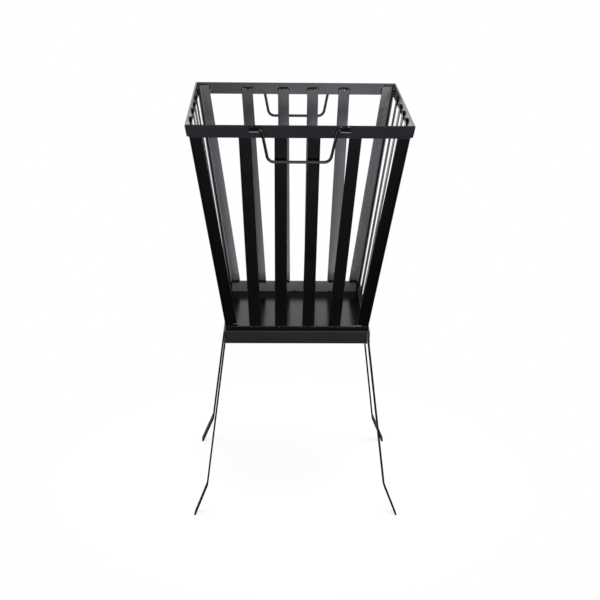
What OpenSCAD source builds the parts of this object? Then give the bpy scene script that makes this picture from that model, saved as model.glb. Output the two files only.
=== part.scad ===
// Camping fire pit: a square, tapered fire basket of welded flat bar that sits in a four-legged stand.
// Origin: on the floor, below the middle of the basket. +Z is up and the front wall faces -Y.
// The four walls are alike. Wall 0 is the front, and walls 1, 2 and 3 are the right, back and left.

/* [Overall] */
// Outer width of the basket at the top of its rim
basket_w = 370; // [340:1:420]
// Height of the rim above the floor
rim_height = 709; // [670:1:760]
// Outer width of the stand frame
stand_w = 252; // [230:1:270]
// Height of the stand frame's top edge above the floor
stand_height = 335.5; // [310:0.5:370]

/* [Basket bars] */
// Width of the rim bars, along the wall
rim_h = 21; // [17:1:30]
// Thickness of the rim bars
rim_t = 3; // [2:0.5:5]
// Width of the bars of the lower ring, along the wall
base_h = 20; // [16:1:26]
// How far the lower ring stands up out of the stand frame
base_rise = 8; // [4:0.5:12]
// Thickness of slats, posts and lower ring
wall_t = 2; // [1.5:0.5:4]
// Radius ground onto the lower outer corners of the rim
rim_corner_r = 7; // [1:0.5:9]

/* [Slats] */
// Width of a slat
slat_w = 20.5; // [14:0.5:26]
// Distance from the rim's top edge down to the slats' top ends
slat_drop = 10; // [4:1:15]
// Places of the slats' top ends along a wall, seen from outside, from its middle
slat_tops = [-89, -31, 23, 90];
// Places of the slats' bottom ends along a wall
slat_bottoms = [-72, -28, 19, 64];
// Radius of the shoulders at a slat's top end
slat_shoulder_r = 3; // [1:0.5:6]

/* [Corner posts] */
// Width of each flange of a corner post
post_w = 21; // [15:1:26]
// Outer radius of the post's fold
post_fold_r = 6; // [5:0.5:10]
// Distance from the rim's top edge down to the posts' top ends
post_drop = 5; // [2:1:12]

/* [Floor plate] */
// Thickness of the floor plate
plate_t = 2; // [1.5:0.5:4]
// Radius of the floor plate's corners
plate_corner_r = 4; // [1:1:12]

/* [Handles] */
// Diameter of the handle wire
wire_d = 5; // [4:0.5:7]
// Distance between the handle's legs at its pivot, between wire centres
handle_top_w = 122; // [100:1:150]
// Distance between the handle's legs at its grip, between wire centres
handle_grip_w = 100; // [80:1:110]
// Length of the handle from its pivot to the middle of its grip
handle_drop = 55; // [40:1:70]
// Bend radius beside the pivot, to the wire's centre
handle_pivot_r = 4; // [4:0.5:8]
// Bend radius beside the grip, to the wire's centre
handle_grip_r = 12; // [8:1:18]
// Distance of the handle's middle from the wall's middle
handle_offset = -1; // [-10:1:10]

/* [Handle lugs] */
// Outer diameter of a lug
lug_d = 8.5; // [8:0.5:12]
// Length of a lug
lug_len = 16; // [10:1:25]
// Distance of the pivot below the rim's top edge, along the rim
lug_drop = 5.5; // [5:0.5:12]
// Gap all round between the wire and the lug's bore
lug_clearance = 0.05; // [0.02:0.01:0.1]
// Height of the weld that joins a lug to the rim
lug_weld_h = 5; // [3:0.5:6]
// Distance between a lug's tube and the rim, bridged by its weld
lug_weld_gap = 0.3; // [0.1:0.1:1]
// Length at each end of a lug that its weld leaves free
lug_weld_end = 1; // [0.5:0.5:3]

/* [Stand] */
// Height of the stand frame's bars
stand_h = 22.5; // [18:0.5:30]
// Thickness of the stand frame's bars
stand_t = 3; // [2:0.5:5]
// Gap between the basket's tapered wall and the frame's top inner edge
nest_gap = 0.3; // [0.2:0.1:1]

/* [Legs] */
// Width of a leg bar
leg_w = 20; // [14:1:25]
// Thickness of a leg bar
leg_t = 3; // [2:0.5:5]
// Distance from the frame's front or back face to the middle of a leg's top end
leg_inset = 16; // [12:1:40]
// Angle at which a leg spreads sideways below the frame
leg_spread = 7; // [3:0.1:12]
// Angle at which the foot below the knee spreads
foot_spread = 21.8; // [14:0.1:30]
// Angle at which a leg leans towards the front or the back
leg_lean = 8; // [3:0.5:10]
// Height of the knee above the floor
knee_height = 55; // [40:0.5:80]
// Inner radius of a leg's knee bend
knee_bend_r = 4; // [1:0.5:8]

/* [Hidden] */
$fn = 64;
walls = ["front", "right", "back", "left"];
corners = ["front_left", "front_right", "back_right", "back_left"];
sides = ["left", "right"];
slats_per_wall = len(slat_tops);

// The seat plane of a wall is its slats' outer face, which is the rim's inner face. It passes the stand
// frame's inner top edge at nest_gap and meets the rim's inner top edge, which sets the wall's lean.
nest_half = stand_w / 2 - stand_t;
wall_fall = rim_height - stand_height;
lean_steps = 8;
lean = lean_of(lean_steps);
seat_half = basket_w / 2 - rim_t * cos(lean);
// One step of the search for the lean: the rim's outer edge, the rim's thickness and the nest gap are all
// measured square to the wall, so the lean depends on its own cosine and settles in a few steps.
function lean_step(a) =
    atan((basket_w / 2 - rim_t * cos(a) - nest_half + nest_gap / cos(a)) / wall_fall);
function lean_of(steps) = steps == 0 ? 0 : lean_step(lean_of(steps - 1));

// Lengths down the wall from the rim's inner top edge
base_top = (wall_fall - base_rise) / cos(lean);
base_bottom = base_top + base_h;
plate_top = rim_height - base_bottom * cos(lean);
plate_half = seat_half - base_bottom * sin(lean);

// The corner post's axis leans along both walls at once, and it stands on the lower ring's inner top edge.
corner_lean = atan(sqrt(2) * tan(lean));
fold_angle = acos(-pow(sin(lean), 2));
post_bottom = rim_height - base_top * cos(lean) + wall_t * sin(lean);
post_top = rim_height - post_drop;

// The lug lies against the rim, just outside the handle's bend.
pivot_gap = lug_d / 2 + lug_weld_gap;
lug_inner = handle_top_w / 2 + handle_pivot_r;
bore_d = wire_d + 2 * lug_clearance;

stand_bottom = stand_height - stand_h;
// Leg bars are drawn longer than needed, then cut under the frame and at the floor.
leg_spare = 10;
// A bend is thicker than its wire by bend_swell, and a straight run reaches into it by bend_lap.
bend_swell = 0.1;
bend_lap = 0.1;
big = 2 * rim_height;
// Flat steps round a fold or a bend of a bar
fold_steps = 8;

black = [0.09, 0.09, 0.10];
plate_black = [0.16, 0.16, 0.16];
stand_black = [0.12, 0.12, 0.13];
wire_black = [0.06, 0.06, 0.07];

// Places children in a wall's own frame: X along the wall, Z up its slope from the rim's inner top edge
// and Y square to it, 0 on the seat plane and positive into the basket.
module on_wall(k) {
    rotate([0, 0, 90 * k]) translate([0, -seat_half, rim_height]) rotate([lean, 0, 0]) children();
}

// The quarter of space in front of wall k, between the two diagonals
module quarter(k) {
    rotate([0, 0, 90 * k])
        linear_extrude(height = big)
            polygon([[0, 0], [-big, -big], [big, -big]]);
}

// Bar along a wall between two distances down its slope, mitred at both corners
module mitred_bar(k, top, bottom, y0, y1) {
    intersection() {
        on_wall(k)
            translate([-basket_w / 2, y0, -bottom])
                cube([basket_w, y1 - y0, bottom - top]);
        quarter(k);
    }
}

// Rim bar with its lower outer corners ground round
module rim(k) {
    color(black) intersection() {
        mitred_bar(k, 0, rim_h, -rim_t, 0);
        on_wall(k)
            rotate([90, 0, 0])
                linear_extrude(height = big, center = true)
                    rim_outline();
    }
}

// Outline of a rim bar in its wall's plane, open upwards
module rim_outline() {
    half = basket_w / 2 - rim_h * sin(lean);
    r = rim_corner_r;
    translate([-half + r, -rim_h])
        square([2 * (half - r), rim_h]);
    translate([-basket_w, -rim_h + r])
        square([2 * basket_w, rim_h]);
    for (s = [-1, 1])
        translate([s * (half - r), -rim_h + r])
            circle(r);
}

// Slat i of wall k: a flat bar with round shoulders, lapped inside the rim and butted to the lower ring
module slat(k, i) {
    top_x = slat_tops[i];
    bottom_x = slat_bottoms[i];
    half = slat_w / 2;
    r = slat_shoulder_r;
    color(black)
        on_wall(k)
            translate([0, wall_t, 0])
                rotate([90, 0, 0])
                    linear_extrude(height = wall_t)
                        polygon(concat(
                            arc([top_x - half + r, -slat_drop - r], r, 180, 90),
                            arc([top_x + half - r, -slat_drop - r], r, 90, 0),
                            [[bottom_x + half, -base_top], [bottom_x - half, -base_top]]
                        ));
}

// Section of a corner post: flanges along +X and +Y, folded round at the outer corner near the origin.
// The included angle is a little over 90 degrees, because both walls lean.
module post_section() {
    r = post_fold_r;
    along = 45 - fold_angle / 2;
    setback = r / tan(fold_angle / 2);
    middle = r / sin(fold_angle / 2) * [cos(45), sin(45)];
    end_out = post_w * [cos(along), sin(along)];
    end_in = end_out + wall_t * [-sin(along), cos(along)];
    polygon(concat(
        [end_in, end_out],
        arc(middle, r, along - 90, along - 270 + fold_angle),
        [swap(end_out), swap(end_in)],
        arc(middle, r - wall_t, along - 270 + fold_angle, along - 90)
    ));
}

// Points on an arc about a centre, from one angle to another
function arc(centre, r, from, to) =
    [for (i = [0:fold_steps]) let (a = from + (to - from) * i / fold_steps) centre + r * [cos(a), sin(a)]];
function swap(p) = [p[1], p[0]];

// Corner post k, at the left end of wall k seen from outside
module post(k) {
    color(black)
        intersection() {
            rotate([0, 0, 90 * k])
                translate([-seat_half, -seat_half, rim_height])
                    rotate(a = corner_lean, v = [1, -1, 0])
                        translate([0, 0, -big])
                            linear_extrude(height = big)
                                post_section();
            translate([-basket_w, -basket_w, post_bottom])
                cube([2 * basket_w, 2 * basket_w, post_top - post_bottom]);
        }
}

// Bar of the lower ring, under the slats and posts: drawn too long by its thickness, then cut level on
// the floor plate
module base(k) {
    color(black) intersection() {
        mitred_bar(k, base_top, base_bottom + wall_t, 0, wall_t);
        translate([-basket_w, -basket_w, plate_top])
            cube([2 * basket_w, 2 * basket_w, rim_height]);
    }
}

// Floor plate, welded under the lower ring
module floor_plate() {
    color(plate_black)
        translate([0, 0, plate_top - plate_t])
            linear_extrude(height = plate_t)
                rounded_square(2 * plate_half, plate_corner_r);
}

// Square of width w with corners of radius r
module rounded_square(w, r) {
    square([w - 2 * r, w], center = true);
    square([w, w - 2 * r], center = true);
    for (x = [-1, 1], y = [-1, 1])
        translate([x, y] * (w / 2 - r))
            circle(r);
}

// Places children on a wall's handle pivot: X along the pivot, Z up the wall's slope
module on_pivot(k) {
    y = rim_t + pivot_gap;
    rotate([0, 0, 90 * k])
        translate([
            handle_offset,
            -seat_half - y * cos(lean) + lug_drop * sin(lean),
            rim_height - y * sin(lean) - lug_drop * cos(lean)
        ])
            rotate([lean, 0, 0])
                children();
}

// Lug of wall k, on the left (s = -1) or right (s = 1): a tube welded along the rim
module lug(k, s) {
    color(black)
        on_pivot(k)
            difference() {
                union() {
                    translate([s * (lug_inner + lug_len / 2), 0, 0])
                        rotate([0, 90, 0])
                            cylinder(h = lug_len, d = lug_d, center = true);
                    translate([s * (lug_inner + lug_len / 2), pivot_gap / 2, 0])
                        cube([lug_len - 2 * lug_weld_end, pivot_gap, lug_weld_h], center = true);
                }
                rotate([0, 90, 0])
                    cylinder(h = big, d = bore_d, center = true);
            }
}

// Handle of wall k: one bent wire, hanging from its lugs along the wall
module handle(k) {
    taper = (handle_top_w - handle_grip_w) / 2;
    leg_angle = atan(handle_drop / taper);
    grip_tangent = handle_grip_r * tan(leg_angle / 2);
    pivot_tangent = handle_pivot_r * tan(leg_angle / 2);
    grip_end = handle_grip_w / 2 - grip_tangent;
    leg_run = handle_drop / sin(leg_angle) - grip_tangent - pivot_tangent;
    pivot_run = lug_inner + lug_len - handle_top_w / 2 - pivot_tangent;
    color(wire_black)
        on_pivot(k) {
            translate([-grip_end, 0, -handle_drop])
                rotate([0, 90, 0])
                    wire(2 * grip_end);
            for (s = [0, 1])
                mirror([s, 0, 0])
                    translate([grip_end, 0, -handle_drop])
                        rotate([0, 90, 0])
                            bend(handle_grip_r, leg_angle) {
                                wire(leg_run);
                                translate([0, 0, leg_run])
                                    bend(handle_pivot_r, -leg_angle)
                                        wire(pivot_run - bend_lap);
                            }
        }
}

// Straight run of wire along +Z that reaches into the bends at both its ends
module wire(length) {
    translate([0, 0, -bend_lap])
        cylinder(h = length + 2 * bend_lap, d = wire_d);
}

// Bend of the wire in the XZ plane, towards -X when the angle is positive, with what follows at its end
module bend(r, angle) {
    side = sign(angle);
    translate([-side * r, 0, 0])
        rotate([90, 0, 0])
            rotate([0, 0, side > 0 ? 0 : 180 + angle])
                rotate_extrude(angle = abs(angle))
                    translate([r, 0])
                        circle(d = wire_d + bend_swell);
    translate([-side * r, 0, 0])
        rotate([0, -angle, 0])
            translate([side * r, 0, 0])
                children();
}

// Bar of the stand frame: the right and left bars run full length and hold the other two between them
module stand_bar(k) {
    length = k % 2 == 1 ? stand_w : stand_w - 2 * stand_t;
    color(stand_black)
        rotate([0, 0, 90 * k])
            translate([-length / 2, -stand_w / 2, stand_bottom])
                cube([length, stand_t, stand_h]);
}

// Leg at corner c: a flat bar butted under the frame's side bar, bent outwards at the knee and cut level
// at both ends
module leg(c) {
    sx = c == 0 || c == 3 ? -1 : 1;
    sy = c < 2 ? -1 : 1;
    color(stand_black)
        intersection() {
            mirror([1 - sx, 0, 0])
                mirror([0, 1 - sy, 0])
                    translate([stand_w / 2 - stand_t / 2, stand_w / 2 - leg_inset, stand_bottom])
                        rotate([90 + leg_lean, 0, 0])
                            linear_extrude(height = leg_w, center = true)
                                leg_profile();
            translate([-big, -big, 0])
                cube([2 * big, 2 * big, stand_bottom]);
        }
}

// Side view of a leg, with the middle of its top end at the origin
module leg_profile() {
    polygon(concat(leg_face(-1), reversed(leg_face(1))));
}

// Outline of the leg's inner face (side = -1) or outer face (side = 1), from top to foot. The knee turns
// outwards, about a centre on the leg's outer side.
function leg_face(side) =
    let (
        r = knee_bend_r + (1 - side) * leg_t / 2,
        across = [cos(leg_spread), sin(leg_spread)],
        upper = (stand_bottom - knee_height) / cos(leg_lean) / cos(leg_spread),
        foot = knee_height / cos(leg_lean) / cos(foot_spread) + leg_spare,
        middle = upper * down(leg_spread) + (knee_bend_r + leg_t / 2) * across
    )
    concat(
        [side * leg_t / 2 * across - leg_spare * down(leg_spread)],
        arc(middle, r, 180 + leg_spread, 180 + foot_spread),
        [middle - r * [cos(foot_spread), sin(foot_spread)] + foot * down(foot_spread)]
    );
function down(angle) = [sin(angle), -cos(angle)];
function reversed(list) = [for (i = [len(list) - 1:-1:0]) list[i]];

for (k = [0:3])
    rim(k);
for (k = [0:3])
    post(k);
for (k = [0:3], i = [0:slats_per_wall - 1])
    slat(k, i);
for (k = [0:3])
    base(k);
floor_plate();
for (k = [0, 2], s = [0, 1])
    lug(k, 2 * s - 1);
for (k = [0, 2])
    handle(k);
for (k = [0:3])
    stand_bar(k);
for (c = [0:3])
    leg(c);
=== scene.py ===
# Camping fire pit: a tapered basket of welded flat bar with two wire handles, nested in a stand on four
# bent legs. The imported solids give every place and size. This file gives the bars their rolled edges, the
# joints their welds and all of it its black stove coating.
import math
import random
from collections import namedtuple

import bmesh
import bpy
from mathutils import Matrix, Vector


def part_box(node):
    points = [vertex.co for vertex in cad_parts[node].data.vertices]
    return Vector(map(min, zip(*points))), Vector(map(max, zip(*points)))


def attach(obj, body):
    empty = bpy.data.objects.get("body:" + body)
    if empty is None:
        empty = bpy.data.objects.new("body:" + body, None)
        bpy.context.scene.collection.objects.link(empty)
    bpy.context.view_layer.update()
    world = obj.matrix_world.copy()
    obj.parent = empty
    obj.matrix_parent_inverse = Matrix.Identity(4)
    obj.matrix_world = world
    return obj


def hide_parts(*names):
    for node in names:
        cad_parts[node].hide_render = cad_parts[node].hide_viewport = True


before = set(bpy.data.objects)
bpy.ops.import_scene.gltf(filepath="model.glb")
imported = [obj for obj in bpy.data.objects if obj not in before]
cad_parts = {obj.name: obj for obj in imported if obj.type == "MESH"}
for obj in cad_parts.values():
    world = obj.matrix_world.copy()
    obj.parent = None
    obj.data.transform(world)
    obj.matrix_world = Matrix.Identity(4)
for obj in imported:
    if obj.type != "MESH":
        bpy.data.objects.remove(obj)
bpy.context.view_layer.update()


# Camera: the photograph was taken from the front and a little above, about two and a half metres away. The
# lens and the turn of the camera were worked out from the corners of the rim, the stand and the feet.
image_width = 600
camera_place = Vector((-0.0531, -2.4017, 1.1943))
focal_pixels = 1409.57
camera_pitch = math.radians(19.395)
camera_yaw = math.radians(1.447)
camera_roll = math.radians(0.674)

ahead = Vector((
    math.sin(camera_yaw) * math.cos(camera_pitch),
    math.cos(camera_yaw) * math.cos(camera_pitch),
    -math.sin(camera_pitch),
))
level_right = Vector((math.cos(camera_yaw), -math.sin(camera_yaw), 0))
level_up = level_right.cross(ahead)
camera_right = level_right * math.cos(camera_roll) + level_up * math.sin(camera_roll)
camera_up = level_up * math.cos(camera_roll) - level_right * math.sin(camera_roll)

camera_data = bpy.data.cameras.new("camera")
camera_data.lens = focal_pixels * camera_data.sensor_width / image_width
camera = bpy.data.objects.new("camera", camera_data)
camera_turn = Matrix((camera_right, camera_up, -ahead)).transposed().to_4x4()
camera.matrix_world = Matrix.Translation(camera_place) @ camera_turn
bpy.context.scene.collection.objects.link(camera)
bpy.context.scene.camera = camera
bpy.context.scene.view_settings.view_transform = "Standard"


# Studio: a round pale floor, white surroundings and four soft lamps. The white seen behind the object is
# the world's and the floor's own colour, and the floor keeps the object's soft shadow. The fades are in the
# upward and the forward part of a ray's direction.
floor_radius = 0.45
floor_sides = 96
floor_glow = 0.78
floor_grey = 0.55
ambient_light = 0.45
ground_light = 0.03
ground_dark_below = -0.62
ground_bright_above = -0.15
ceiling_from = 0.4
ceiling_to = 0.85
ceiling_light = 0.2
side_from = 0.15
side_to = 0.6
side_light = 0.65
plain_white = (1, 1, 1)
cool_white = (0.86, 0.91, 1.0)


def math_node(tree, operation, *values):
    """Adds a Math node to a node tree and gives its output. Each value is a number, or an output to link."""
    node = tree.nodes.new("ShaderNodeMath")
    node.operation = operation
    for socket, value in zip(node.inputs, values):
        if isinstance(value, bpy.types.NodeSocket):
            tree.links.new(value, socket)
        else:
            socket.default_value = value
    return node.outputs[0]


def any_of(tree, path, *names):
    """Joins outputs of a Light Path node: 1 for a ray of any of the named kinds."""
    total = path.outputs[names[0]]
    for name in names[1:]:
        total = math_node(tree, "MAXIMUM", total, path.outputs[name])
    return total


def shape_object(shape, name, *materials):
    """Smooth-shaded object from a finished bmesh, linked to the scene, with its materials."""
    for face in shape.faces:
        face.smooth = True
    mesh = bpy.data.meshes.new(name)
    shape.to_mesh(mesh)
    shape.free()
    for material in materials:
        mesh.materials.append(material)
    made = bpy.data.objects.new(name, mesh)
    bpy.context.scene.collection.objects.link(made)
    return made


def white_world():
    """Surroundings that are white to the camera. In reflections they are white around the horizon before and
    behind the object, and darker below, overhead and at the sides, as a studio is."""
    world = bpy.data.worlds.new("studio")
    bpy.context.scene.world = world
    world.use_nodes = True
    tree = world.node_tree
    nodes, links = tree.nodes, tree.links
    nodes.clear()
    path = nodes.new("ShaderNodeLightPath")
    place = nodes.new("ShaderNodeTexCoord")
    axes = nodes.new("ShaderNodeSeparateXYZ")
    links.new(place.outputs["Generated"], axes.inputs[0])
    depth = math_node(tree, "ABSOLUTE", axes.outputs["Y"])
    strength = 1
    for axis, low, high, low_light, high_light in (
        (axes.outputs["Z"], ground_dark_below, ground_bright_above, ground_light, 1),
        (axes.outputs["Z"], ceiling_from, ceiling_to, 1, ceiling_light),
        (depth, side_from, side_to, side_light, 1),
    ):
        fade = nodes.new("ShaderNodeMapRange")
        fade.interpolation_type = "SMOOTHSTEP"
        fade.inputs["From Min"].default_value = low
        fade.inputs["From Max"].default_value = high
        fade.inputs["To Min"].default_value = low_light
        fade.inputs["To Max"].default_value = high_light
        links.new(axis, fade.inputs["Value"])
        strength = math_node(tree, "MULTIPLY", strength, fade.outputs["Result"])
    seen = nodes.new("ShaderNodeBackground")
    seen.inputs["Color"].default_value = (*plain_white, 1)
    reflected = nodes.new("ShaderNodeBackground")
    reflected.inputs["Color"].default_value = (*plain_white, 1)
    links.new(strength, reflected.inputs["Strength"])
    ambient = nodes.new("ShaderNodeBackground")
    ambient.inputs["Strength"].default_value = ambient_light
    mirrored = nodes.new("ShaderNodeMixShader")
    links.new(any_of(tree, path, "Is Glossy Ray", "Is Transmission Ray"), mirrored.inputs[0])
    links.new(ambient.outputs[0], mirrored.inputs[1])
    links.new(reflected.outputs[0], mirrored.inputs[2])
    shown = nodes.new("ShaderNodeMixShader")
    links.new(path.outputs["Is Camera Ray"], shown.inputs[0])
    links.new(mirrored.outputs[0], shown.inputs[1])
    links.new(seen.outputs[0], shown.inputs[2])
    output = nodes.new("ShaderNodeOutputWorld")
    links.new(shown.outputs[0], output.inputs["Surface"])


def pale_floor():
    """Round pale floor under the feet."""
    material = bpy.data.materials.new("pale_floor")
    material.use_nodes = True
    tree = material.node_tree
    nodes, links = tree.nodes, tree.links
    nodes.clear()
    path = nodes.new("ShaderNodeLightPath")
    paper = nodes.new("ShaderNodeBsdfDiffuse")
    paper.inputs["Color"].default_value = (floor_grey, floor_grey, floor_grey, 1)
    glow = nodes.new("ShaderNodeEmission")
    glow.inputs["Color"].default_value = (floor_glow, floor_glow, floor_glow, 1)
    shown = any_of(tree, path, "Is Camera Ray", "Is Glossy Ray", "Is Transmission Ray")
    links.new(shown, glow.inputs["Strength"])
    both = nodes.new("ShaderNodeAddShader")
    links.new(paper.outputs[0], both.inputs[0])
    links.new(glow.outputs[0], both.inputs[1])
    output = nodes.new("ShaderNodeOutputMaterial")
    links.new(both.outputs[0], output.inputs["Surface"])
    shape = bmesh.new()
    bmesh.ops.create_circle(shape, cap_ends=True, segments=floor_sides, radius=floor_radius)
    floor = shape_object(shape, "floor", material)


def soft_lamp(name, place, target, width, height, power, colour=plain_white):
    """Rectangular soft lamp at a place, turned towards a target."""
    data = bpy.data.lights.new(name, "AREA")
    data.shape = "RECTANGLE"
    data.size = width
    data.size_y = height
    data.energy = power
    data.color = colour
    lamp = bpy.data.objects.new(name, data)
    lamp.location = place
    lamp.rotation_euler = (Vector(target) - Vector(place)).to_track_quat("-Z", "Y").to_euler()
    lamp.visible_camera = False
    bpy.context.scene.collection.objects.link(lamp)


white_world()
pale_floor()
soft_lamp(
    "front_lamp", place=(0.6, -2.8, 0.63), target=(0, 0, 0.45),
    width=1.4, height=1.0, power=14, colour=cool_white,
)
soft_lamp("low_lamp", place=(0.3, -2.7, 0.16), target=(0, 0, 0.4), width=1.2, height=0.14, power=9)
soft_lamp("top_lamp", place=(0.3, -0.4, 2.6), target=(0, 0, 0.4), width=1.6, height=1.6, power=12)
soft_lamp("side_lamp", place=(-1.8, -1.4, 0.3), target=(0, 0, 0.3), width=0.6, height=0.5, power=4)


# Coating: stove enamel sprayed over welded mild steel and baked. It is a soft black with the fine grain of
# dried spray, slightly uneven in gloss, and lighter in a line along rolled edges: partly thinned enamel,
# partly painted highlight. The grain, the clouds of gloss and the waves of the steel each have a size, a
# detail and a roughness.
coat_black = (0.0015, 0.0016, 0.002)
# Colour of the lighter line on rolled edges: partly thinned enamel, partly painted highlight.
edge_wear_and_highlight = (0.05, 0.05, 0.052)
coat_ior = 1.5
spray_grain = (0.0007, 2, 0.5)
gloss_clouds = (0.045, 1.5, 0.6)
steel_waves = (0.06, 1, 0.5)
noise_middle = 0.5
gloss_spread = 0.12


def noise(tree, place, size, detail, roughness):
    """Adds a noise texture with features of a size in metres, and gives its output."""
    texture = tree.nodes.new("ShaderNodeTexNoise")
    texture.inputs["Scale"].default_value = 1 / size
    texture.inputs["Detail"].default_value = detail
    texture.inputs["Roughness"].default_value = roughness
    tree.links.new(place, texture.inputs["Vector"])
    return texture.outputs["Fac"]


def sprayed_coat():
    """Node group for the grain and the uneven gloss of sprayed enamel, and a lighter colour where the edge
    mark
    is set: thinned enamel and painted highlight on rolled edges, painted glints on welds and lugs.
    """
    group = bpy.data.node_groups.new("sprayed_coat", "ShaderNodeTree")
    for side, name, kind in (
        ("INPUT", "Colour", "NodeSocketColor"),
        ("INPUT", "Wear And Glint Colour", "NodeSocketColor"),
        ("INPUT", "Wear And Glint", "NodeSocketFloat"),
        ("INPUT", "Roughness", "NodeSocketFloat"),
        ("INPUT", "Unevenness", "NodeSocketFloat"),
        ("OUTPUT", "Colour", "NodeSocketColor"),
        ("OUTPUT", "Roughness", "NodeSocketFloat"),
        ("OUTPUT", "Height", "NodeSocketFloat"),
        ("OUTPUT", "Waves", "NodeSocketFloat"),
    ):
        group.interface.new_socket(name=name, in_out=side, socket_type=kind)
    nodes, links = group.nodes, group.links
    given = nodes.new("NodeGroupInput").outputs
    place = nodes.new("ShaderNodeTexCoord").outputs["Object"]
    grain = noise(group, place, *spray_grain)
    clouds = noise(group, place, *gloss_clouds)
    waves = noise(group, place, *steel_waves)
    spread = math_node(group, "SUBTRACT", clouds, noise_middle)
    uneven = math_node(group, "MULTIPLY_ADD", spread, given["Unevenness"], given["Roughness"])
    # Where the edge mark is set the colour turns lighter: wear and painted highlight on rolled edges, painted
    # glints on welds, a painted highlight line on the lugs.
    edge = nodes.new("ShaderNodeAttribute")
    edge.attribute_name = "edge"
    wear_and_glint_mask = math_node(group, "MULTIPLY", edge.outputs["Fac"], clouds)
    wear_and_glint_amount = math_node(group, "MULTIPLY", wear_and_glint_mask, given["Wear And Glint"])
    wear_and_glint_amount.node.use_clamp = True
    colour = nodes.new("ShaderNodeMix")
    colour.data_type = "RGBA"
    links.new(wear_and_glint_amount, colour.inputs["Factor"])
    links.new(given["Colour"], colour.inputs["A"])
    links.new(given["Wear And Glint Colour"], colour.inputs["B"])
    result = nodes.new("NodeGroupOutput").inputs
    links.new(colour.outputs["Result"], result["Colour"])
    links.new(uneven, result["Roughness"])
    links.new(grain, result["Height"])
    links.new(waves, result["Waves"])
    return group


coat_group = sprayed_coat()


def coated_steel(
    name, colour=coat_black, roughness=0.2, wear_and_glint=0.6, grain=0.00002, wave=0.00008, gloss=0.5,
    wear_and_glint_colour=edge_wear_and_highlight,
):
    """Material of a steel piece under the sprayed enamel, over bars that are never quite flat."""
    material = bpy.data.materials.new(name)
    material.use_nodes = True
    nodes, links = material.node_tree.nodes, material.node_tree.links
    shader = nodes["Principled BSDF"]
    shader.inputs["IOR"].default_value = coat_ior
    shader.inputs["Specular IOR Level"].default_value = gloss
    coat = nodes.new("ShaderNodeGroup")
    coat.node_tree = coat_group
    coat.inputs["Colour"].default_value = (*colour, 1)
    coat.inputs["Wear And Glint Colour"].default_value = (*wear_and_glint_colour, 1)
    coat.inputs["Wear And Glint"].default_value = wear_and_glint
    coat.inputs["Roughness"].default_value = roughness
    coat.inputs["Unevenness"].default_value = gloss_spread
    swell = nodes.new("ShaderNodeBump")
    swell.inputs["Distance"].default_value = wave
    links.new(coat.outputs["Waves"], swell.inputs["Height"])
    bump = nodes.new("ShaderNodeBump")
    bump.inputs["Distance"].default_value = grain
    links.new(coat.outputs["Height"], bump.inputs["Height"])
    links.new(swell.outputs["Normal"], bump.inputs["Normal"])
    links.new(coat.outputs["Colour"], shader.inputs["Base Color"])
    links.new(coat.outputs["Roughness"], shader.inputs["Roughness"])
    links.new(bump.outputs["Normal"], shader.inputs["Normal"])
    return material


# Stand: a square frame of flat bar on edge, with four bent legs of the same bar welded under its corners.
# The frame's top edge is lighter and glossier: partly rubbed by the basket, partly a painted highlight.
# Rolled bar has slightly rounded edges, and a weld is a short row of overlapping scales that the enamel has
# run over, with a painted glint, a painted highlight, on the toe of some.
stand_coat = coated_steel(
    "stand_coat", colour=(0.003, 0.0035, 0.008), roughness=0.22, wear_and_glint=2.6, gloss=0.3
)
# Faces of the stand that face up are painted lighter and glossier: rubbed by the basket and painted
# highlight.
stand_top_wear_and_highlight = coated_steel("stand_top_wear_and_highlight", colour=(0.01, 0.01, 0.013), wear_and_glint=2.6, gloss=0.55)
leg_coat = coated_steel("leg_coat", roughness=0.5, wear_and_glint=0.2, gloss=0.04)
# Colour of the painted glints on the toes of welds and on spatter: painted highlights.
painted_glint_colour = (0.7, 0.7, 0.66)
weld_coat = coated_steel(
    "weld_coat", roughness=0.22, wear_and_glint=2.4, grain=0.00005, gloss=0.2, wear_and_glint_colour=painted_glint_colour
)
stand_edge = 0.0006
stand_thick = 0.003
sharp_angle = math.radians(40)
flat_angle = math.radians(1)
join_distance = 0.000002
edge_segments = 2
round_profile = 0.5
inward_turn = 0.5
upward_turn = 0.7


def rolled_bar(node, body, edge_radius, material, inside=None, top=None):
    """Copy of a node's bar with its edges rounded as a rolling mill leaves them, in place of the node. Its
    faces towards the middle of the basket get the material inside, where one is given, and those that face
    up get the material top."""
    extras = [extra for extra in (inside, top) if extra]
    shape = bmesh.new()
    shape.from_mesh(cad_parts[node].data)
    bmesh.ops.remove_doubles(shape, verts=shape.verts, dist=join_distance)
    bmesh.ops.dissolve_limit(shape, angle_limit=flat_angle, verts=shape.verts, edges=shape.edges)
    sharp_edges = [
        edge for edge in shape.edges if len(edge.link_faces) == 2 and edge.calc_face_angle() > sharp_angle
    ]
    rounded = bmesh.ops.bevel(
        shape, geom=sharp_edges, offset=edge_radius, segments=edge_segments, profile=round_profile,
        affect="EDGES", clamp_overlap=True,
    )
    round_faces = set(rounded["faces"])
    # Marks the rounded edges for the lighter line: thinned enamel and painted highlight.
    crest = shape.verts.layers.float.new("edge")
    for vert in shape.verts:
        vert[crest] = 1.0 if all(face in round_faces for face in vert.link_faces) else 0.0
    for face in shape.faces:
        middle = face.calc_center_median()
        middle.z = 0
        if top and face.normal.z > upward_turn:
            face.material_index = 1 + extras.index(top)
        elif inside and face.normal.dot(middle.normalized()) < -inward_turn:
            face.material_index = 1 + extras.index(inside)
    bar = shape_object(shape, node + "_bar", material, *extras)
    bar.data.set_sharp_from_angle(angle=sharp_angle)
    weighted = bar.modifiers.new("weighted_normals", "WEIGHTED_NORMAL")
    weighted.keep_sharp = True
    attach(bar, body)
    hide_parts(node)
    return bar


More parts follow.
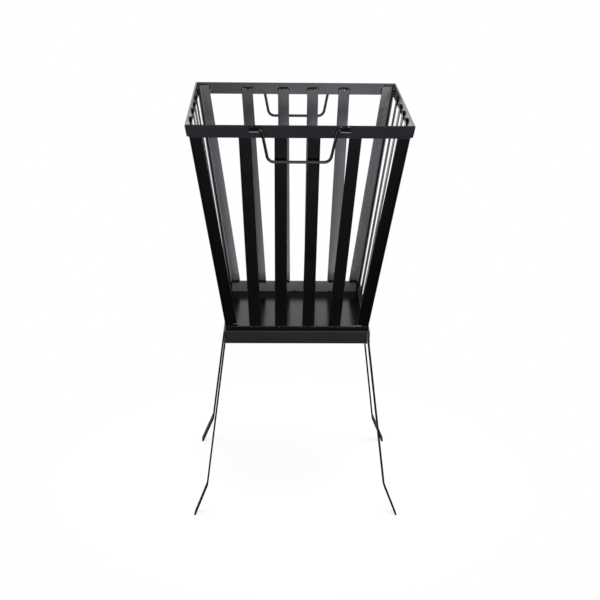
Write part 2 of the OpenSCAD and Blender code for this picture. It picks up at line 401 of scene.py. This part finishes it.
# A bead says what a weld looks like: half its width, its height, the length of a scale, how strong the
# painted glint on the toe of a scale may be, and the share of its size that is left in the valley between two
# scales.
glints = (0, 0.2, 0.6, 1)
Bead = namedtuple("Bead", "half_wide high scale_length bare valley", defaults=(glints, 0.62))
weld_sides = 12
least_scales = 2
steps_per_scale = 6
scale_sizes = (0.8, 1.15)
scale_shift = 0.35
scale_bow = 0.5
scale_power = 0.7
least_ending = 0.2
toe_turn = -0.4
toe_from = 0.2
toe_to = 0.8


def bridge(shape, one, two):
    """Joins two rings of vertices with a band of faces."""
    for j in range(len(one)):
        following = (j + 1) % len(one)
        shape.faces.new((one[j], one[following], two[following], two[j]))


def weld_run(shape, start, end, wide, bead, chance):
    """Adds a weld to a bmesh, from start to end: a closed, lumpy run with one hump for each scale. It is half
    its width to each side along the vector wide, and its height square to that. The toe of a scale is on the
    side away from wide, and some toes get a painted glint, a painted highlight. How large, how far aside and
    how strongly glinting a scale is comes by chance."""
    crest = shape.verts.layers.float.get("edge") or shape.verts.layers.float.new("edge")
    run = (end - start).length
    along = (end - start).normalized()
    side = (wide - along * wide.dot(along)).normalized()
    out = along.cross(side)
    count = max(least_scales, round(run / bead.scale_length))
    scales = [
        (chance.uniform(*scale_sizes), chance.uniform(-scale_shift, scale_shift), chance.choice(bead.bare))
        for _ in range(count)
    ]
    steps = steps_per_scale * count
    rings = []
    for i in range(1, steps):
        progress = i / steps
        place = progress * count
        part = place % 1
        hump, shift, glint = scales[int(place)]
        scallop = bead.valley + (1 - bead.valley) * math.sin(math.pi * part) ** scale_power
        distance = min(progress, 1 - progress) * run
        ending = math.sqrt(1 - max(0.0, 1 - distance / bead.half_wide) ** 2)
        size = hump * scallop * max(ending, least_ending)
        centre = start + along * (progress * run) + side * (shift * bead.half_wide * ending)
        ring = []
        for j in range(weld_sides):
            angle = math.tau * j / weld_sides
            aside = side * (bead.half_wide * size * math.cos(angle))
            height = out * (bead.high * size * math.sin(angle))
            bow = along * (-scale_bow * bead.half_wide * math.cos(angle) ** 2 * ending)
            vert = shape.verts.new(centre + aside + height + bow)
            # Painted glint, a painted highlight, on the toe of some scales.
            vert[crest] = glint if math.cos(angle) < toe_turn and toe_from < part < toe_to else 0
            ring.append(vert)
        rings.append(ring)
    for one, two in zip(rings, rings[1:]):
        bridge(shape, one, two)
    for ring, tip, order in ((rings[0], start, -1), (rings[-1], end, 1)):
        point = shape.verts.new(tip)
        for j in range(weld_sides):
            shape.faces.new((ring[j], ring[(j + 1) % weld_sides], point)[::order])


def weld_piece(name, shape, body):
    """Object of welds from a finished bmesh."""
    bmesh.ops.recalc_face_normals(shape, faces=shape.faces)
    piece = shape_object(shape, name, weld_coat)
    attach(piece, body)


for node in sorted(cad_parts):
    if node.startswith("stand_"):
        rolled_bar(node, "stand", stand_edge, stand_coat, top=stand_top_wear_and_highlight)
    elif node.startswith("leg_"):
        rolled_bar(node, "stand", stand_edge, leg_coat)

# The seams of the frame's bars show at its corners, their painted glints fainter on the left than the right.
left_seam_bead = Bead(0.0017, 0.00085, 0.00408, bare=(0, 0.15))
right_seam_bead = Bead(0.0017, 0.00085, 0.00408, bare=(0.4, 1))
leg_bead = Bead(0.0016, 0.00112, 0.00416)
end_band = 0.001
stand_seed = 10
upright = Vector((0, 0, 1))
sideways = Vector((1, 0, 0))
stand_low, stand_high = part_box("stand_left")
stand_half = -stand_low.x
stand_welds = bmesh.new()
for x_sign, hand, seam_bead in ((-1, "left", left_seam_bead), (1, "right", right_seam_bead)):
    for y_sign, row in ((-1, "front"), (1, "back")):
        chance = random.Random(stand_seed + 2 * x_sign + y_sign)
        seam = Vector((x_sign * (stand_half - stand_thick), y_sign * stand_half, 0))
        start = seam + upright * (stand_low.z + seam_bead.half_wide)
        end = seam + upright * (stand_high.z - seam_bead.half_wide)
        weld_run(stand_welds, start, end, sideways, seam_bead, chance)
        corner = "leg_{}_{}".format(row, hand)
        head_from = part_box(corner)[1].z - end_band
        head = [vert.co.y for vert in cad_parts[corner].data.vertices if vert.co.z > head_from]
        for x in (stand_half, stand_half - stand_thick):
            start = Vector((x_sign * x, min(head) + leg_bead.half_wide, stand_low.z))
            end = Vector((x_sign * x, max(head) - leg_bead.half_wide, stand_low.z))
            weld_run(stand_welds, start, end, upright, leg_bead, chance)
weld_piece("stand_welds", stand_welds, "stand")


# Lower ring and floor plate: a square ring of the same bar on edge, welded round a plate of thin sheet.
# Only its top shows, above the stand's frame. Its faces inside the basket are painted light grey: painted
# light. A wall's lean comes from the outer face of one of its slats.
ring_coat = coated_steel("ring_coat", roughness=0.18)
top_coat = coated_steel("top_coat", roughness=0.4, wear_and_glint=0.2, gloss=0.06)
# Faces of the ring inside the basket are painted light grey: painted light.
ring_inside_painted_light = coated_steel("ring_inside_painted_light", colour=(0.15, 0.15, 0.154), roughness=0.25, grain=0.00005, gloss=1)
plate_coat = coated_steel(
    "plate_coat", colour=(0.001, 0.001, 0.0009), roughness=0.19, wear_and_glint=0.3, gloss=0.16
)
bar_edge = 0.0005
plate_edge = 0.0004
ring_thick = 0.002
tack_length = 0.016
tack_places = (-0.07, 0, 0.07)
tack_bead = Bead(0.0014, 0.0014, 0.0042)
corner_bead = Bead(0.00224, 0.0014, 0.0042, bare=(0,))
# Streak welds whose toes are painted with glints: painted highlights.
streak_bead = Bead(0.0014, 0.0014, 0.00224, bare=(0.3, 0.6))
ring_seed = 30
streak_seed = 40
wall_names = ("front", "right", "back", "left")
quarter_turn = math.radians(90)

outer_faces = [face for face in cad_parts["slat_front_2"].data.polygons if face.normal.y < 0]
seat_face = max(outer_faces, key=lambda face: face.area)
lean = math.atan2(-seat_face.normal.z, -seat_face.normal.y)
rim_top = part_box("rim_front")[1].z
seat_half = (
    rim_top * math.sin(lean) - seat_face.center.y * math.cos(lean) - seat_face.center.z * math.sin(lean)
) / math.cos(lean)


def wall_turn(wall):
    """Turn that takes the front wall to the given one."""
    return Matrix.Rotation(quarter_turn * wall_names.index(wall), 3, "Z")


def on_wall(wall, across, up, inward):
    """Point in a wall's own frame, which starts at the middle of the rim's inner top edge: across the wall
    seen from outside, up its slope, and inward from the seat of the slats."""
    flat = Vector((
        across,
        inward * math.cos(lean) - up * math.sin(lean) - seat_half,
        inward * math.sin(lean) + up * math.cos(lean) + rim_top,
    ))
    return wall_turn(wall) @ flat


def wall_place(wall, point):
    """Place of a world point in a wall's own frame, the other way about."""
    flat = wall_turn(wall).transposed() @ point
    y = flat.y + seat_half
    z = flat.z - rim_top
    return Vector((flat.x, z * math.cos(lean) - y * math.sin(lean), y * math.cos(lean) + z * math.sin(lean)))


def wall_vector(wall, across, up, inward):
    """Direction in a wall's own frame."""
    return on_wall(wall, across, up, inward) - on_wall(wall, 0, 0, 0)


def node_on_wall(wall, node):
    """Places of a node's vertices in a wall's own frame."""
    return [wall_place(wall, vert.co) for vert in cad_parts[node].data.vertices]


for wall in wall_names:
    rolled_bar("base_" + wall, "basket", bar_edge, ring_coat, ring_inside_painted_light, top_coat)
rolled_bar("floor_plate", "basket", plate_edge, plate_coat)

plate_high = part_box("floor_plate")[1]
ring_half = plate_high.x - ring_thick
ring_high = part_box("base_front")[1].z
ring_welds = bmesh.new()
for index, wall in enumerate(wall_names):
    turn = wall_turn(wall)
    chance = random.Random(ring_seed + index)
    for middle in tack_places:
        start = turn @ Vector((middle - tack_length / 2, -ring_half, plate_high.z))
        end = turn @ Vector((middle + tack_length / 2, -ring_half, plate_high.z))
        weld_run(ring_welds, start, end, upright, tack_bead, chance)
    start = turn @ Vector((-ring_half, -ring_half, plate_high.z))
    end = turn @ Vector((-ring_half, -ring_half, ring_high - tack_bead.half_wide))
    weld_run(ring_welds, start, end, turn @ sideways, corner_bead, chance)

# Weld streaks painted with glints, painted highlights, along the foot of the front wall: where each starts
# and ends across the wall, how high over the foot of the slats it starts and ends, and how far inward it
# lies.
front_streaks = (
    (0.094, 0.112, 0, 0.0018, -0.0002),
    (0.056, 0.068, 0.0006, 0.0006, ring_thick),
    (-0.11, -0.101, 0.005, 0.005, 0.0002),
)
ring_top = min(place.y for place in node_on_wall("front", "slat_front_2"))
for first, last, first_rise, last_rise, inward in front_streaks:
    start = on_wall("front", first, ring_top + first_rise, inward)
    end = on_wall("front", last, ring_top + last_rise, inward)
    weld_run(ring_welds, start, end, -upright, streak_bead, random.Random(streak_seed))
weld_piece("ring_welds", ring_welds, "basket")


# Slats: flat bars with cropped round shoulders, lapped inside the rim and butted on the lower ring. The top
# weld rises over the slat's end as a wavy row of scales, and tacks hold slat and rim from outside.
slat_coat = coated_steel("slat_coat", roughness=0.18)
# The slats' faces inside the basket are painted lighter than their outer faces: painted light.
slat_inside_painted_light = coated_steel(
    "slat_inside_painted_light", colour=(0.02, 0.021, 0.025), roughness=0.2, grain=0.000005, wave=0.00003, gloss=0.54
)
slats_per_wall = 4
slat_thick = 0.002
rim_wide = 0.021
head_band = 0.004
top_bead = Bead(0.0031, 0.00186, 0.0042, valley=0.3)
top_bead_end = 0.0005
top_bead_rise = -0.0002
top_bead_depth = 0.0018
shoulder = 0.003
shoulder_bead = Bead(0.001395, 0.00155, 0.0026)
shoulder_out = 0.0008
shoulder_rise = 0.0004
inner_foot_bead = Bead(0.0032, 0.00192, 0.0045, bare=(0,))
inner_foot_drop = 0.0012
inner_foot_depth = 0.0024
outer_foot_bead = Bead(0.00096, 0.000576, 0.0045, bare=(0, 0.1, 0.3))
outer_foot_drop = 0
outer_foot_depth = 0.0002
foot_bead_end = 0.001
tacked_slats = (1, slats_per_wall)
under_bead = Bead(0.001, 0.001, 0.0025)
under_tack = 0.007
under_depth = -0.0003
slat_seed = 100
seeds_per_wall = 10

slat_welds = bmesh.new()
for index, wall in enumerate(wall_names):
    up = wall_vector(wall, 0, 1, 0)
    for number in range(1, slats_per_wall + 1):
        node = "slat_{}_{}".format(wall, number)
        rolled_bar(node, "basket", bar_edge, slat_coat, slat_inside_painted_light)
        places = node_on_wall(wall, node)
        high = max(place.y for place in places)
        low = min(place.y for place in places)
        head = [place.x for place in places if place.y > high - head_band]
        foot = [place.x for place in places if place.y < low + end_band]
        chance = random.Random(slat_seed + seeds_per_wall * index + number)
        start = on_wall(wall, min(head) + top_bead_end, high + top_bead_rise, top_bead_depth)
        end = on_wall(wall, max(head) - top_bead_end, high + top_bead_rise, top_bead_depth)
        weld_run(slat_welds, start, end, up, top_bead, chance)
        for side, corner in ((1, min(head)), (-1, max(head))):
            start = on_wall(wall, corner - side * shoulder_out, high - shoulder, top_bead_depth)
            end = on_wall(wall, corner + side * shoulder, high + shoulder_rise, top_bead_depth)
            weld_run(slat_welds, start, end, up, shoulder_bead, chance)
        for bead, drop, depth in (
            (inner_foot_bead, inner_foot_drop, inner_foot_depth),
            (outer_foot_bead, outer_foot_drop, outer_foot_depth),
        ):
            start = on_wall(wall, min(foot) + foot_bead_end, low - drop, depth)
            end = on_wall(wall, max(foot) - foot_bead_end, low - drop, depth)
            weld_run(slat_welds, start, end, up, bead, chance)
        if number in tacked_slats:
            middle = (min(head) + max(head)) / 2
            start = on_wall(wall, middle - under_tack / 2, -rim_wide, under_depth)
            end = on_wall(wall, middle + under_tack / 2, -rim_wide, under_depth)
            weld_run(slat_welds, start, end, up, under_bead, chance)
weld_piece("slat_welds", slat_welds, "basket")


# Corner posts and rim: the posts are bars folded lengthways into an angle. Their faces inside the basket are
# painted lighter, painted light, but those on the flanges on the side walls get the duller top coat, painted
# shade. The rim is four bars mitred and welded at the corners, with the lower corners ground round. Short
# welds run down the posts' edges, over their tops and under their feet.
post_coat = coated_steel("post_coat", roughness=0.12)
# The posts' faces inside the basket are painted lighter: painted light.
post_inside_painted_light = coated_steel(
    "post_inside_painted_light", colour=(0.035, 0.037, 0.042), roughness=0.2, grain=0.00001, gloss=1
)
rim_coat = coated_steel("rim_coat", colour=(0.018, 0.02, 0.026), roughness=0.15, wear_and_glint=0.8)
rim_inside = coated_steel(
    "rim_inside", colour=(0.02, 0.021, 0.024), roughness=0.18, wear_and_glint=0.8, grain=0.00001
)
rim_edge = 0.0007
inside_index = 1
# Inner faces of the flanges on the side walls take the duller top coat: painted shade.
painted_shade_index = 2
painted_shade_turn = 0.8
flange_band = 0.001
post_side_bead = Bead(0.0014, 0.0014, 0.004)
post_side_top = 0.003
post_side_end = 0.001
post_side_depth = 0.0012
post_head_bead = Bead(0.0014, 0.0014, 0.005)
post_head_depth = 0.001
post_foot_band = 0.002
post_fold_clear = 0.005
post_seed = 200

for wall in wall_names:
    top = top_coat if wall in ("front", "back") else rim_coat
    rolled_bar("rim_" + wall, "basket", rim_edge, rim_coat, rim_inside, top)

post_welds = bmesh.new()
for index, corner in enumerate(("front_left", "front_right", "back_right", "back_left")):
    node = "post_" + corner
    post_mesh = rolled_bar(node, "basket", bar_edge, post_coat, post_inside_painted_light).data
    post_mesh.materials.append(top_coat)
    # Inner flange faces on the side walls get the duller top coat: painted shade.
    for face in post_mesh.polygons:
        if face.material_index == inside_index and abs(face.normal.x) > painted_shade_turn:
            face.material_index = painted_shade_index
    chance = random.Random(post_seed + index)
    for wall, side in ((wall_names[index], 1), (wall_names[index - 1], -1)):
        up = wall_vector(wall, 0, 1, 0)
        flange = [place for place in node_on_wall(wall, node) if place.z < slat_thick + flange_band]
        high = max(place.y for place in flange)
        low = min(place.y for place in flange)
        free_edge = max(side * place.x for place in flange if place.y > high - post_side_top)
        start, end = (
            on_wall(wall, side * (free_edge + math.sin(lean) * drop), high - drop, post_side_depth)
            for drop in (post_side_top, rim_wide + high - post_side_end)
        )
        weld_run(post_welds, start, end, wall_vector(wall, 1, 0, 0), post_side_bead, chance)
        head = [side * place.x for place in flange if place.y > high - end_band]
        start = on_wall(wall, side * (min(head) + post_head_bead.half_wide), high, post_head_depth)
        end = on_wall(wall, side * (max(head) - post_head_bead.half_wide), high, post_head_depth)
        weld_run(post_welds, start, end, up, post_head_bead, chance)
        foot = [side * place.x for place in flange if place.y < low + post_foot_band]
        foot_level = low - inner_foot_drop
        start = on_wall(wall, side * (min(foot) + post_fold_clear), foot_level, inner_foot_depth)
        end = on_wall(wall, side * (max(foot) - foot_bead_end), foot_level, inner_foot_depth)
        weld_run(post_welds, start, end, up, inner_foot_bead, chance)
weld_piece("post_welds", post_welds, "basket")


# Lugs and handles: each handle is one round wire, bent twice at either side, whose ends turn in two short
# tubes welded along the outside of the rim. A pale line is painted along the lower front of each tube, a
# painted highlight, and spatter from its weld has stayed on the rim round it.
# Colour of the line painted along each lug: a painted highlight.
lug_highlight_colour = (0.42, 0.43, 0.47)
lug_coat = coated_steel("lug_coat", roughness=0.3, wear_and_glint=2.6, gloss=0.05, wear_and_glint_colour=lug_highlight_colour)
wire_coat = coated_steel("wire_coat", roughness=0.25, wear_and_glint=0, gloss=0.5)
lug_edge = 0.0004
lug_bead = Bead(0.0016, 0.0016, 0.0035, bare=(0, 0, 0.15, 0.5))
lug_bead_reach = 0.75
lug_seed = 304
# Where the painted highlight line lies on each tube, turned down from outward, and how narrow it is.
highlight_angle = math.radians(30)
highlight_from = 0.93
wire_radius = 0.0025
wire_sides = 24
wire_end_bevel = 0.0004
bend_steps = 10
grip_width = 0.1
grip_bend = 0.012
pivot_width = 0.122
pivot_bend = 0.004
rim_thick = 0.003
spatter_count = 16
spatter_spread = 0.012
spatter_sizes = (0.00025, 0.0006)
spatter_rows = (-0.019, -0.001)
spatter_rounding = 2


def weld_spatter(shape, wall, middle, chance):
    """Adds drops of weld spatter to a bmesh, on the outer face of a wall's rim and round one of its lugs.
    Some drops get a painted glint, a painted highlight.
    """
    crest = shape.verts.layers.float.get("edge")
    for _ in range(spatter_count):
        across = middle + chance.gauss(0, spatter_spread)
        place = on_wall(wall, across, chance.uniform(*spatter_rows), -rim_thick)
        size = chance.uniform(*spatter_sizes)
        drop = bmesh.ops.create_icosphere(
            shape, subdivisions=spatter_rounding, radius=size, matrix=Matrix.Translation(place)
        )
        # Some drops get a painted glint: painted highlight.
        bare = chance.choice(glints)
        for vert in drop["verts"]:
            vert[crest] = bare


def rounded_path(corners, radii):
    """Points along a path through corners, with an arc of the given radius at each inner corner."""
    points = [corners[0]]
    for before, corner, after, radius in zip(corners, corners[1:], corners[2:], radii):
        back = (before - corner).normalized()
        onward = (after - corner).normalized()
        half = back.angle(onward) / 2
        middle = corner + (back + onward).normalized() * (radius / math.sin(half))
        first = corner + back * (radius / math.tan(half)) - middle
        turn_axis = first.cross(corner - middle).normalized()
        for i in range(bend_steps + 1):
            turned = Matrix.Rotation((math.pi - 2 * half) * i / bend_steps, 3, turn_axis) @ first
            points.append(middle + turned)
    return points + [corners[-1]]


def swept_wire(path, radius, square):
    """Bmesh of a round wire along a flat path, closed at both ends, with the rims of the ends bevelled. The
    vector square stands upright on the path's plane."""
    steps = [(after - before).normalized() for before, after in zip(path, path[1:])]
    headings = [(back + onward).normalized() for back, onward in zip(steps[:1] + steps, steps + steps[-1:])]
    first_full = path[0] + headings[0] * wire_end_bevel
    last_full = path[-1] - headings[-1] * wire_end_bevel
    full = [first_full, *path[1:-1], last_full]
    stations = [(path[0], headings[0], radius - wire_end_bevel)]
    stations += [(point, heading, radius) for point, heading in zip(full, headings)]
    stations.append((path[-1], headings[-1], radius - wire_end_bevel))
    shape = bmesh.new()
    rings = []
    for point, heading, size in stations:
        side = square.cross(heading).normalized()
        ring = []
        for j in range(wire_sides):
            angle = math.tau * j / wire_sides
            ring.append(shape.verts.new(point + (side * math.cos(angle) + square * math.sin(angle)) * size))
        rings.append(ring)
    for one, two in zip(rings, rings[1:]):
        bridge(shape, one, two)
    shape.faces.new(rings[0])
    shape.faces.new(rings[-1])
    bmesh.ops.recalc_face_normals(shape, faces=shape.faces)
    return shape


for wall, facing in (("front", -1), ("back", 1)):
    node = "handle_" + wall
    low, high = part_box(node)
    middle = (low.x + high.x) / 2
    outer, inner = (low.y, high.y) if facing < 0 else (high.y, low.y)
    pivot = Vector((middle, outer - facing * wire_radius, high.z - wire_radius))
    grip = Vector((middle, inner + facing * wire_radius, low.z + wire_radius))
    corners = [
        pivot + sideways * (low.x - middle),
        pivot - sideways * (pivot_width / 2),
        grip - sideways * (grip_width / 2),
        grip + sideways * (grip_width / 2),
        pivot + sideways * (pivot_width / 2),
        pivot + sideways * (high.x - middle),
    ]
    path = rounded_path(corners, (pivot_bend, grip_bend, grip_bend, pivot_bend))
    square = sideways.cross((grip - pivot).normalized())
    wire = shape_object(swept_wire(path, wire_radius, square), node + "_wire", wire_coat)
    wire.data.set_sharp_from_angle(angle=sharp_angle)
    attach(wire, node)
    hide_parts(node)
    highlight_facing = wall_vector(wall, 0, -math.sin(highlight_angle), -math.cos(highlight_angle))
    lug_welds = bmesh.new()
    for index, hand in enumerate(("left", "right")):
        lug = "lug_{}_{}".format(wall, hand)
        tube_mesh = rolled_bar(lug, "basket", lug_edge, lug_coat).data
        # A pale line painted along the lower front of the tube: painted highlight.
        for vert, wear_and_glint_mask in zip(tube_mesh.vertices, tube_mesh.attributes["edge"].data):
            wear_and_glint_mask.value = max(0.0, (vert.normal.dot(highlight_facing) - highlight_from) / (1 - highlight_from))
        low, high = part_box(lug)
        chance = random.Random(lug_seed + index + facing)
        centre = (low + high) / 2
        one = wall_place(wall, Vector((low.x, centre.y, centre.z)))
        other = wall_place(wall, Vector((high.x, centre.y, centre.z)))
        reach = lug_bead_reach * (high.z - low.z) / 2
        start = on_wall(wall, one.x, one.y + reach, one.z + reach)
        end = on_wall(wall, other.x, one.y + reach, one.z + reach)
        weld_run(lug_welds, start, end, wall_vector(wall, 0, -1, 0), lug_bead, chance)
        weld_spatter(lug_welds, wall, (one.x + other.x) / 2, chance)
    weld_piece("lug_welds_" + wall, lug_welds, "basket")
